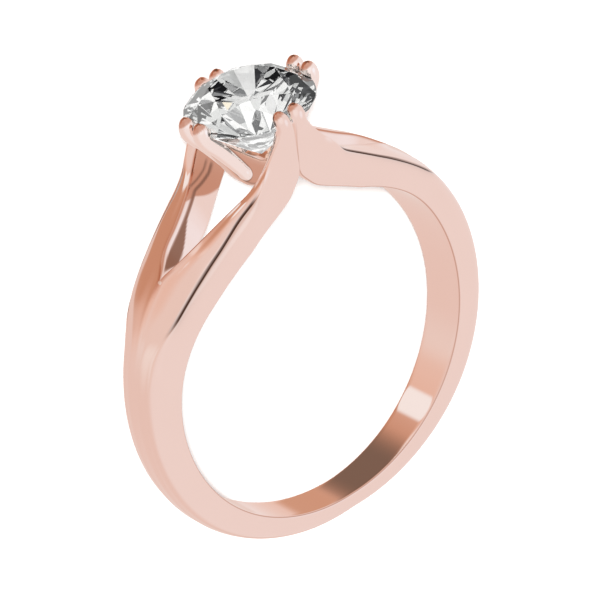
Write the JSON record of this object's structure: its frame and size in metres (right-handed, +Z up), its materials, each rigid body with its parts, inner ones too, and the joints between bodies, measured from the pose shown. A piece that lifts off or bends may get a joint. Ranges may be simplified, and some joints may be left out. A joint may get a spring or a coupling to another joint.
{
  "type": "solitaire ring",
  "caption": "Ring with a split shank that climbs into double claws and holds a round brilliant stone, lying on its side.",
  "frame": {"origin": "on the surface that the ring lies on, under the middle of its length and width", "axes": "+Z up from the surface, toward the ring's front; +Y toward the stone; +X to the right of the stone seen from the front"},
  "size_m": [0.0204, 0.024, 0.0068],
  "materials": {
    "rose_gold": "mirror polished",
    "clear_stone": "polished facets"
  },
  "bodies": {
    "root": {"shank_and_claws": "rose_gold", "centre_stone": "clear_stone"}
  },
  "joints": []
}
